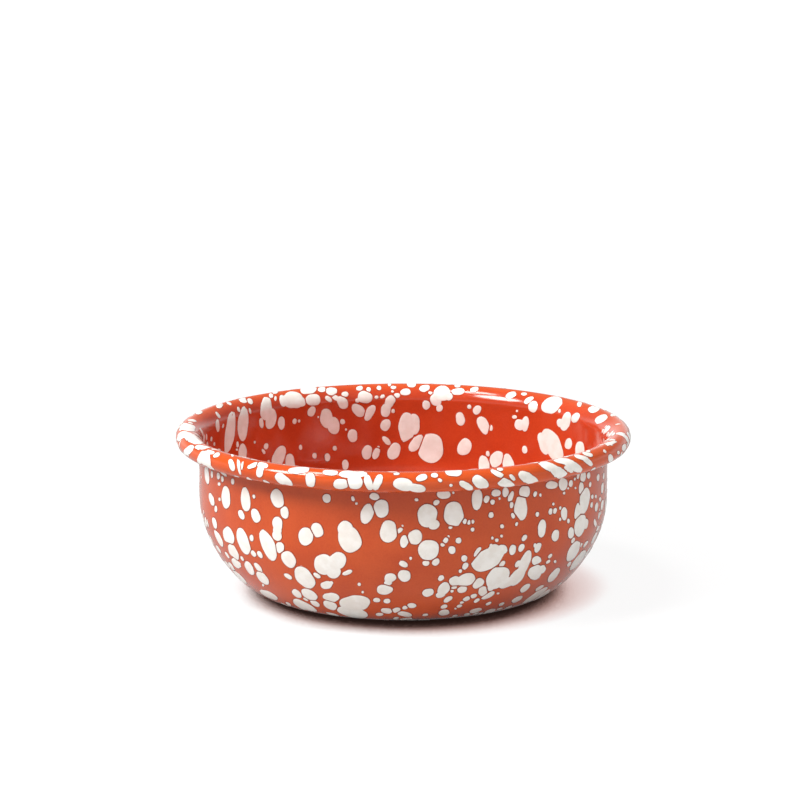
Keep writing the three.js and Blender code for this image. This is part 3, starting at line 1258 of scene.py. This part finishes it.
@dataclass
class Splatter:
    """The cream drops: those that the photograph shows, and like ones where it doesn't reach."""

    section: BowlSection
    camera: PhotoCamera
    coats: list[bpy.types.Object]
    finish: CreamEnamel = field(default_factory=CreamEnamel)
    seed: int = 7
    lift: float = 0.09 * MM
    lift_range: tuple[float, float] = (0.85, 1.15)  # of the drops' heights against that
    edge_lift: float = 0.6  # a drop's height at its edge against its middle
    sink: float = 0.012 * MM
    edge_width: float = 0.3 * MM  # the dark line round a drop
    bevel: float = 0.3 * MM
    most_edge: float = 0.4  # of a drop's reach, that its line or its bevel may take
    lobes: tuple[tuple[int, float], ...] = ((2, 0.035), (3, 0.03), (5, 0.018))  # count and height
    small: float = 1.2 * MM  # mean reach under which a drop may be thinner
    small_thin: float = 0.3
    thin_range: tuple[float, float] = (-0.12, 0.18)  # under 0 is full glass
    touch_line: float = 0.5 * MM  # between drops that just touch
    merge_share: float = 0.55  # overlap, against the smaller reach, past which two drops run together
    crowding: float = 0.85  # least distance of a scattered drop from others, against their reaches
    near_axis: float = 0.7  # most reach of a scattered drop against its distance from the axis
    tries: int = 30  # throws for each scattered drop
    bare_edge: float = 5 * MM  # left without scattered drops at the crevice and inside the curl
    bare_foot: float = 3 * MM  # round the foot
    bare_floor: float = 7 * MM  # round the axis, inside
    bare_base: float = 6 * MM  # and under the base
    stretch: float = 4.0  # most that a slanting surface may draw out a drop
    slant: float = 0.27  # cosine of the slant past which the photograph shows too little to follow
    sight_points: int = 8  # points of a drop's edge that are looked for in the photograph
    clear: float = 0.3 * MM  # over the surface, so that it doesn't hide itself
    pixel: float = 0.353 * MM  # one pixel of the photograph at the bowl
    unrolled: float = 70 * MM  # radius at which the unrolled surface is measured round
    longest_round: float = 3.5 * MM  # side of a drop's face round the bowl
    wall_side: float = 2.0 * MM  # and along the section, on the walls and on the tightly rolled rim
    rim_side: float = 0.7 * MM
    halvings: int = 5
    ring_edges: tuple[float, ...] = (1.0, 0.45, 0.0)  # the edge attribute on a drop's rings, from below
    crown_inset: float = 0.2  # of the uppermost ring in a drop's pattern, whose radius is 1
    middle: float = 0.5  # points of the pattern nearer to its centre than this are its middle

    def __post_init__(self) -> None:
        """Measure the two surfaces and gather the coats for casting on."""
        depth = self.section.skin_depth
        self.outside = Meridian(self.section.stations("recess_floor", "throat"), Side.OUTSIDE, depth)
        self.inside = Meridian(self.section.stations("recess_floor", "bead"), Side.INSIDE, depth)
        collar = Meridian(self.section.stations("recess_floor", "wall"), Side.INSIDE, depth)
        recess = Meridian(self.section.stations("recess_floor", "recess_floor"), Side.OUTSIDE, depth)
        ring = Meridian(self.section.stations("recess_floor", "foot_edge"), Side.OUTSIDE, depth)
        self.lip_length = float(collar.lengths[-1])
        self.recess_length = float(recess.lengths[-1])
        self.foot_length = float(ring.lengths[-1])
        self.chance = random.Random(self.seed)
        self.patterns: dict[int, bpy.types.Mesh] = {}
        # Corners of a drop's outline, each with the span up to which they are enough
        self.spokes_to_span = {10: 0.8 * MM, 14: 1.8 * MM, 24: 4 * MM, SPOKES: math.inf}
        joined = bmesh.new()
        for coat in self.coats:
            joined.from_mesh(coat.data)
        self.surface = BVHTree.FromBMesh(joined)
        joined.free()

    def build(self) -> None:
        """Make every drop, in one piece for each zone of the bowl."""
        drops = [Drop(*row) for row in INSIDE_DROPS + RIM_DROPS + OUTSIDE_DROPS]
        drops += [Drop.streak(*row) for row in RIM_STREAKS]
        shown = [splat for splat in map(self.cast, drops) if splat is not None]
        LOG.info("%d of %d drops cast", len(shown), len(drops))
        throws = self.throws()
        zones: dict[str, list[Splat]] = {name: [] for name in throws}
        for splat in shown:
            zones[self._zone(splat)].append(splat)
        for name, throw in throws.items():
            like = zones[name] or zones["outside_drops"]  # the photograph shows no drop under the base
            zones[name] += self.scattered(like, throw)
        material = self.finish.material()
        for name, splats in zones.items():
            self.part_touching(splats)
            finest = self.rim_side if name == "rim_drops" else self.wall_side
            link_piece(name, self._mesh(name, splats, finest), material)

    def throws(self) -> dict[str, Throw]:
        """Say where drops are scattered.

        Returns:
            The band of each zone, by the name of the zone's piece.
        """
        recess = self.recess_length
        flank = self.foot_length + self.bare_foot
        crevice = float(self.outside.lengths[-1]) - self.bare_edge
        lip = self.lip_length
        curl = float(self.inside.lengths[-1]) - self.bare_edge
        return {
            "outside_drops": Throw(self.outside, flank, crevice, count=350, largest=6 * MM),
            "inside_drops": Throw(self.inside, self.bare_floor, lip, count=250, largest=6 * MM),
            "rim_drops": Throw(self.inside, lip, curl, count=160, largest=4.5 * MM),
            "base_drops": Throw(self.outside, self.bare_base, recess, count=60, largest=4 * MM),
        }

    def _zone(self, splat: Splat) -> str:
        """Name the piece that a drop belongs to.

        Args:
            splat: A drop that the photograph shows.

        Returns:
            The piece's name.
        """
        if splat.spot.face is self.outside:
            return "outside_drops"
        return "rim_drops" if splat.spot.length > self.lip_length else "inside_drops"

    def hit(self, x: float, y: float) -> Spot | None:
        """Find the spot of the bowl that a pixel shows.

        Args:
            x: Pixels from the photograph's left edge.
            y: Pixels from its top edge.

        Returns:
            The spot, or nothing where the pixel shows no bowl.
        """
        place = self.surface.ray_cast(self.camera.eye, self.camera.ray(x, y))[0]
        if place is None:
            return None
        radius = math.hypot(place.x, place.y)
        found = [(*face.nearest(radius, place.z), face) for face in (self.outside, self.inside)]
        length, _, face = min(found, key=lambda item: item[1])
        return Spot(face, length, math.atan2(place.y, place.x))

    def cast(self, drop: Drop) -> Splat | None:
        """Lay a drop of the photograph on the bowl.

        Args:
            drop: The drop.

        Returns:
            The drop on the bowl, or nothing where it would miss.
        """
        middle = self.hit(drop.x, drop.y)
        if middle is None:
            LOG.info("missed the bowl: %s", drop)
            return None
        limit = self.stretch * drop.long * self.pixel
        marks = [self._step(middle, self.hit(*drop.edge(angle)), limit) for angle in SPOKE_ANGLES]
        half = SPOKES // 2
        for index, mark in enumerate(marks):
            opposite = marks[(index + half) % SPOKES]
            if mark is None and opposite is not None:
                marks[index] = (-opposite[0], -opposite[1])
        kept = sorted((math.atan2(v, u), math.hypot(u, v)) for u, v in filter(None, marks))
        if len(kept) < half:
            LOG.info("too little of it shows: %s", drop)
            return None
        angles, distances = zip(*kept)
        reach = np.interp(SPOKE_ANGLES, angles, distances, period=FULL_TURN)
        return self._splat(middle, reach * self._wobble())

    @staticmethod
    def _step(middle: Spot, mark: Spot | None, limit: float) -> tuple[float, float] | None:
        """Measure from a drop's middle to a mark on its edge.

        Args:
            middle: The drop's middle.
            mark: The mark, if its pixel shows the bowl.
            limit: The longest step.

        Returns:
            The step round the bowl and along its section, or nothing where it is too long or leaves
            the surface.
        """
        if mark is None or mark.face is not middle.face:
            return None
        around = math.remainder(mark.turn - middle.turn, FULL_TURN) * mark.face.radius(mark.length)
        along = mark.length - middle.length
        return (around, along) if math.hypot(around, along) < limit else None

    def _wobble(self) -> np.ndarray:
        """Give a drop's edge its small unevenness.

        Returns:
            A factor for the reach along each spoke.
        """
        wave = np.ones(SPOKES)
        for count, height in self.lobes:
            wave += height * np.sin(count * SPOKE_ANGLES + self.chance.uniform(0, FULL_TURN))
        return wave

    def _splat(self, spot: Spot, reach: np.ndarray) -> Splat:
        """Make a drop on the bowl, with a height and a thinness of its own.

        Args:
            spot: Its middle.
            reach: Its reach along each spoke.

        Returns:
            The drop.
        """
        smallness = 1 - min(float(reach.mean()) / self.small, 1.0)
        thin = self.chance.uniform(*self.thin_range)
        thin = max(0.0, thin + self.small_thin * smallness * self.chance.random())
        return Splat(spot, reach, self.lift * self.chance.uniform(*self.lift_range), thin)

    def scattered(self, like: list[Splat], throw: Throw) -> list[Splat]:
        """Throw drops at the part of a surface that the photograph doesn't show.

        Args:
            like: Drops whose shapes are borrowed, and which the new ones keep clear of.
            throw: Where the drops land, how many and how large.

        Returns:
            The new drops.
        """
        face = throw.face
        models = [splat for splat in like if splat.span < throw.largest]
        neighbours = [splat for splat in like if splat.spot.face is face]
        made: list[Splat] = []
        widest = max(face.radius(throw.start), face.radius(throw.end))
        for _ in range(throw.count * self.tries):
            if len(made) == throw.count:
                break
            model = self.chance.choice(models)
            length = self.chance.uniform(throw.start, throw.end)
            turn = self.chance.uniform(-math.pi, math.pi)
            if self.chance.random() * widest > face.radius(length):
                continue
            reach = np.roll(model.reach, self.chance.randrange(SPOKES)) * self._wobble()
            splat = self._splat(Spot(face, length, turn), reach)
            if splat.span > self.near_axis * face.radius(length):
                continue
            if self._crowds(splat, neighbours) or self._shows(splat):
                continue
            made.append(splat)
            neighbours.append(splat)
        return made

    def _crowds(self, splat: Splat, others: list[Splat]) -> bool:
        """Tell whether a drop would cover much of another.

        Args:
            splat: The drop.
            others: Drops on the same surface.

        Returns:
            Whether it is too near to one of them.
        """
        for other in others:
            if not splat.may_touch(other, 0.0):
                continue
            angle, gap = splat.way_to(other)
            if gap < self.crowding * (splat.reach_at(angle) + other.reach_at(angle + math.pi)):
                return True
        return False

    def _shows(self, splat: Splat) -> bool:
        """Look for a drop in the photograph.

        Args:
            splat: The drop.

        Returns:
            Whether the photograph would show any of it, other than at a long slant.
        """
        few = slice(None, None, SPOKES // self.sight_points)
        length, turn = splat.place(SPOKE_ANGLES[few], splat.reach[few])
        under = splat.spot.face.place(length, turn, 0.0)
        over = splat.spot.face.place(length, turn, self.clear)
        for low, place in zip(under, over):
            way = Vector(place) - self.camera.eye
            ahead = way.normalized()
            if ahead.dot(Vector(low - place)) < self.slant * self.clear:
                continue
            if self.surface.ray_cast(self.camera.eye, ahead, way.length - self.clear)[0] is None:
                return True
        return False

    def part_touching(self, splats: list[Splat]) -> None:
        """Leave a fine line between drops that just touch. Those that overlap more run together.

        Args:
            splats: The drops of a zone.
        """
        for index, first in enumerate(splats):
            for second in splats[index + 1 :]:
                if not first.may_touch(second, self.touch_line):
                    continue
                angle, gap = first.way_to(second)
                near = first.reach_at(angle)
                far = second.reach_at(angle + math.pi)
                overlap = near + far + self.touch_line - gap
                if not 0 < overlap < self.merge_share * min(near, far) + self.touch_line:
                    continue
                cut = (gap + near - far - self.touch_line) / 2
                first.trim(angle, cut)
                second.trim(angle + math.pi, gap - cut - self.touch_line)

    def _pattern(self, spokes: int) -> bpy.types.Mesh:
        """Make the pattern of a drop: a closed disc of three rings, one above the other and 1 apart.

        Args:
            spokes: Corners of its outline.

        Returns:
            The pattern's mesh, kept for the next drop with as many corners.
        """
        if spokes in self.patterns:
            return self.patterns[spokes]
        bm = bmesh.new()
        edge = bm.verts.layers.float.new("edge")
        bm.verts.layers.float.new("thin")
        bmesh.ops.create_circle(bm, cap_ends=True, radius=1.0, segments=spokes)
        raised = bmesh.ops.extrude_face_region(bm, geom=bm.faces[:])["geom"]
        crown = next(item for item in raised if isinstance(item, bmesh.types.BMFace))
        bmesh.ops.translate(bm, vec=(0, 0, 1), verts=list(crown.verts))
        bmesh.ops.inset_region(bm, faces=[crown], thickness=self.crown_inset, use_even_offset=True)
        bmesh.ops.translate(bm, vec=(0, 0, 1), verts=list(crown.verts))
        bmesh.ops.poke(bm, faces=[face for face in bm.faces if len(face.verts) == spokes])
        bmesh.ops.recalc_face_normals(bm, faces=bm.faces)
        for vert in bm.verts:
            on_ring = vert.co.xy.length > self.middle
            vert[edge] = self.ring_edges[round(vert.co.z)] if on_ring else 0.0
        for face in bm.faces:
            face.smooth = True
        self.patterns[spokes] = finished_mesh(f"drop_pattern_{spokes}", bm)
        return self.patterns[spokes]

    def _mesh(self, name: str, splats: list[Splat], finest: float) -> bpy.types.Mesh:
        """Lay a pattern of a drop on the bowl for each drop of a zone.

        Args:
            name: The mesh's name.
            splats: The drops, all on one surface.
            finest: Longest side of a face along the section, so that it follows the surface.

        Returns:
            The mesh of all of them.
        """
        bm = bmesh.new()
        for splat in splats:
            flat = self._flat_drop(splat)
            bm.from_mesh(flat)
            bpy.data.meshes.remove(flat)
        self._divide(bm, finest)
        face = splats[0].spot.face
        around, length, lift = np.array([vert.co for vert in bm.verts]).T
        for vert, place in zip(bm.verts, face.place(length, around / self.unrolled, lift)):
            vert.co = place
        if face is self.inside:
            bmesh.ops.reverse_faces(bm, faces=bm.faces)
        return finished_mesh(name, bm)

    def _flat_drop(self, splat: Splat) -> bpy.types.Mesh:
        """Shape a copy of the pattern as a drop on the unrolled surface.

        Args:
            splat: The drop.

        Returns:
            Its mesh: x round the bowl, y along the section, z over the surface.
        """
        spokes = next(count for count, span in self.spokes_to_span.items() if splat.span < span)
        flat = self._pattern(spokes).copy()
        corners = np.empty(len(flat.vertices) * 3, dtype=np.float32)
        flat.vertices.foreach_get("co", corners)
        across, along, level = corners.reshape(-1, 3).T
        ring = np.rint(level).astype(int)
        angle = np.arctan2(along, across)
        reach = np.interp(angle, SPOKE_ANGLES, splat.reach, period=FULL_TURN)
        edge = reach + np.minimum(self.edge_width, self.most_edge * reach)
        shoulder = reach - np.minimum(self.bevel, self.most_edge * reach)
        on_ring = np.hypot(across, along) > self.middle
        distance = np.choose(ring, (edge, reach, shoulder)) * on_ring
        lift = np.choose(ring, (-self.sink, self.edge_lift * splat.lift, splat.lift))
        length, turn = splat.place(angle, distance)
        laid = np.stack([turn * self.unrolled, length, lift], axis=1)
        thin = np.full(len(laid), splat.thin, dtype=np.float32)
        flat.vertices.foreach_set("co", laid.astype(np.float32).ravel())
        flat.attributes["thin"].data.foreach_set("value", thin)
        return flat

    def _divide(self, bm: bmesh.types.BMesh, finest: float) -> None:
        """Halve the long edges of unrolled drops until they can follow the surface.

        Args:
            bm: The drops.
            finest: Longest side of a face along the section.
        """
        for _ in range(self.halvings):
            bmesh.ops.triangulate(bm, faces=bm.faces[:])
            long = []
            for edge in bm.edges:
                side = edge.verts[0].co - edge.verts[1].co
                if abs(side.y) > finest or abs(side.x) > self.longest_round:
                    long.append(edge)
            if not long:
                break
            bmesh.ops.subdivide_edges(bm, edges=long, cuts=1)
        bmesh.ops.triangulate(bm, faces=bm.faces[:])


@dataclass(frozen=True)
class SoftLight:
    """A far, soft studio light."""

    name: str
    towards: Vector  # from the bowl to the light
    spread: float  # how wide it looks from the bowl
    strength: float
    mirrored: bool = True  # whether glossy surfaces show it

    def build(self) -> None:
        """Put the light in the scene."""
        lamp = bpy.data.lights.new(self.name, "SUN")
        lamp.angle = self.spread
        lamp.energy = self.strength
        light = linked(self.name, lamp)
        light.rotation_mode = "QUATERNION"
        light.rotation_quaternion = self.towards.to_track_quat("Z", "Y")
        light.visible_glossy = self.mirrored


@dataclass(frozen=True)
class FloorShade:
    """The shade that the bowl lays on the floor, by the share of the sky that it leaves open."""

    reach: float  # how far off the bowl still shades
    towards: Vector  # the middle of that sky: the shade lies mostly on the far side from it
    stops: Stops  # the floor's colour against the open share

    def colour(self, sheet: Sheet) -> Socket:
        """Give the floor's colour under the shade.

        Args:
            sheet: The sheet that the floor is written on.

        Returns:
            The colour.
        """
        facing = sheet.node("ShaderNodeCombineXYZ", inputs=dict(zip("XYZ", self.towards)))
        sky = {"Distance": self.reach, "Normal": facing}
        open_sky = sheet.node("ShaderNodeAmbientOcclusion", inputs=sky, output="AO")
        return sheet.node("ShaderNodeValToRGB", {"stops": self.stops}, {"Fac": open_sky})


@dataclass
class Studio:
    """A white floor that runs out of sight, soft lights, and a white room that is dim overhead."""

    floor_half: float = 20.0
    floor_colour: Colour = (0.66, 0.66, 0.66, 1.0)
    floor_mirrored: float = 0.65  # as glossy surfaces show it
    mirrored_pale: float = 0.25  # and how much paler they show its shade
    glow: float = 0.9  # the floor's own light as looked at, so that a cast shadow stays faint
    lit: float = 0.12  # and the share that the lamps light
    contact: FloorShade = FloorShade(  # dark, close under the bowl
        reach=30 * MM,
        towards=Vector((-0.07, 0.5, 0.86)),
        stops=(
            (0.12, (0.02, 0.012, 0.01, 1.0)),
            (0.19, (0.11, 0.07, 0.06, 1.0)),
            (0.245, (0.5, 0.36, 0.33, 1.0)),
            (0.295, (0.92, 0.85, 0.84, 1.0)),
            (0.34, WHITE),
        ),
    )
    beside: FloorShade = FloorShade(  # pale and pink, at the bowl's front right
        reach=18 * MM,
        towards=Vector((-0.64, 0.34, 0.69)),
        stops=(
            (0.1, (0.66, 0.5, 0.47, 1.0)),
            (0.3, (0.8, 0.65, 0.63, 1.0)),
            (0.5, (0.92, 0.84, 0.83, 1.0)),
            (0.66, WHITE),
        ),
    )
    fill: float = 0.3  # straight overhead, falling to nothing at the horizon
    ceiling: float = 0.3  # as looked at
    cornice: tuple[float, float] = (0.1, 0.35)  # rise over which white walls turn to it
    lights: tuple[SoftLight, ...] = (
        SoftLight("top_softbox", Vector((-0.36, -0.05, 0.93)), math.radians(18), 1.4),
        SoftLight("left_softbox", Vector((-0.69, -0.28, 0.665)), math.radians(24), 3.2),
        SoftLight("right_fill", Vector((0.6, -0.48, 0.64)), math.radians(60), 1.0, False),
    )

    def build(self) -> None:
        """Put floor, lights and fill in the scene."""
        self._floor()
        self._fill()
        for light in self.lights:
            light.build()
        bpy.context.scene.view_settings.view_transform = "Standard"

    @staticmethod
    def _looks(sheet: Sheet) -> tuple[Socket, Socket]:
        """Tell how a surface is looked at.

        Args:
            sheet: The sheet of the floor or the room.

        Returns:
            A value that is 1 where the camera sees it, and one that is 1 where it shows mirrored or
            through glass.
        """
        camera = sheet.node("ShaderNodeLightPath", output="Is Camera Ray")
        glossy = sheet.node("ShaderNodeLightPath", output="Is Glossy Ray")
        through = sheet.node("ShaderNodeLightPath", output="Is Transmission Ray")
        mirror = sheet.node("ShaderNodeMath", {"operation": "MAXIMUM"}, {0: glossy, 1: through})
        return camera, mirror

    def _floor(self) -> None:
        """Make the floor, which keeps the shade close to the bowl and is white elsewhere."""
        material, sheet = new_sheet("white_floor")
        matt = sheet.node("ShaderNodeBsdfDiffuse", inputs={"Color": self.floor_colour})
        contact, beside = self.contact.colour(sheet), self.beside.colour(sheet)
        shade = sheet.blend(1.0, contact, beside, Mixing.MULTIPLY)
        paler = sheet.blend(self.mirrored_pale, shade, WHITE)
        glowing = {"Color": paler, "Strength": self.floor_mirrored}
        mirrored = sheet.node("ShaderNodeEmission", inputs=glowing)
        white = sheet.node(
            "ShaderNodeBsdfPrincipled",
            inputs={
                "Base Color": sheet.blend(1 - self.lit, shade, BLACK),
                "Roughness": 1.0,
                "Specular IOR Level": 0.0,
                "Emission Color": shade,
                "Emission Strength": self.glow,
            },
        )
        camera, mirror = self._looks(sheet)
        shader = sheet.node("ShaderNodeMixShader", inputs={0: mirror, 1: matt, 2: mirrored})
        shader = sheet.node("ShaderNodeMixShader", inputs={0: camera, 1: shader, 2: white})
        sheet.node("ShaderNodeOutputMaterial", inputs={"Surface": shader})
        bm = bmesh.new()
        bmesh.ops.create_grid(bm, x_segments=1, y_segments=1, size=self.floor_half)
        mesh = finished_mesh("floor", bm)
        mesh.materials.append(material)
        linked("floor", mesh)

    def _fill(self) -> None:
        """Make the room: a soft fill of light, with white walls and a dim ceiling as looked at."""
        world = bpy.data.worlds.new("white_room")
        world.use_nodes = True
        bpy.context.scene.world = world
        sheet = Sheet(world.node_tree)
        way = sheet.node("ShaderNodeTexCoord", output="Generated")
        rise = sheet.node("ShaderNodeSeparateXYZ", inputs={"Vector": way}, output="Z")
        dome = sheet.spread(rise, 0.0, 1.0) * self.fill
        soft = sheet.node("ShaderNodeBackground", inputs={"Color": WHITE, "Strength": dome})
        seen = 1 - sheet.spread(rise, *self.cornice) * (1 - self.ceiling)
        white = sheet.node("ShaderNodeBackground", inputs={"Color": WHITE, "Strength": seen})
        camera, mirror = self._looks(sheet)
        shader = sheet.node("ShaderNodeMixShader", inputs={0: camera + mirror, 1: soft, 2: white})
        sheet.node("ShaderNodeOutputWorld", inputs={"Surface": shader})


def main() -> None:
    """Build the bowl, its splatter, the studio and the camera, in that order."""
    logging.basicConfig(level=logging.INFO, format="%(message)s")
    section = BowlSection.from_frame()
    camera = PhotoCamera()
    camera.build()
    coats = EnamelledShell(section).build()
    Splatter(section, camera, coats).build()
    Studio().build()


if __name__ == "__main__":
    main()
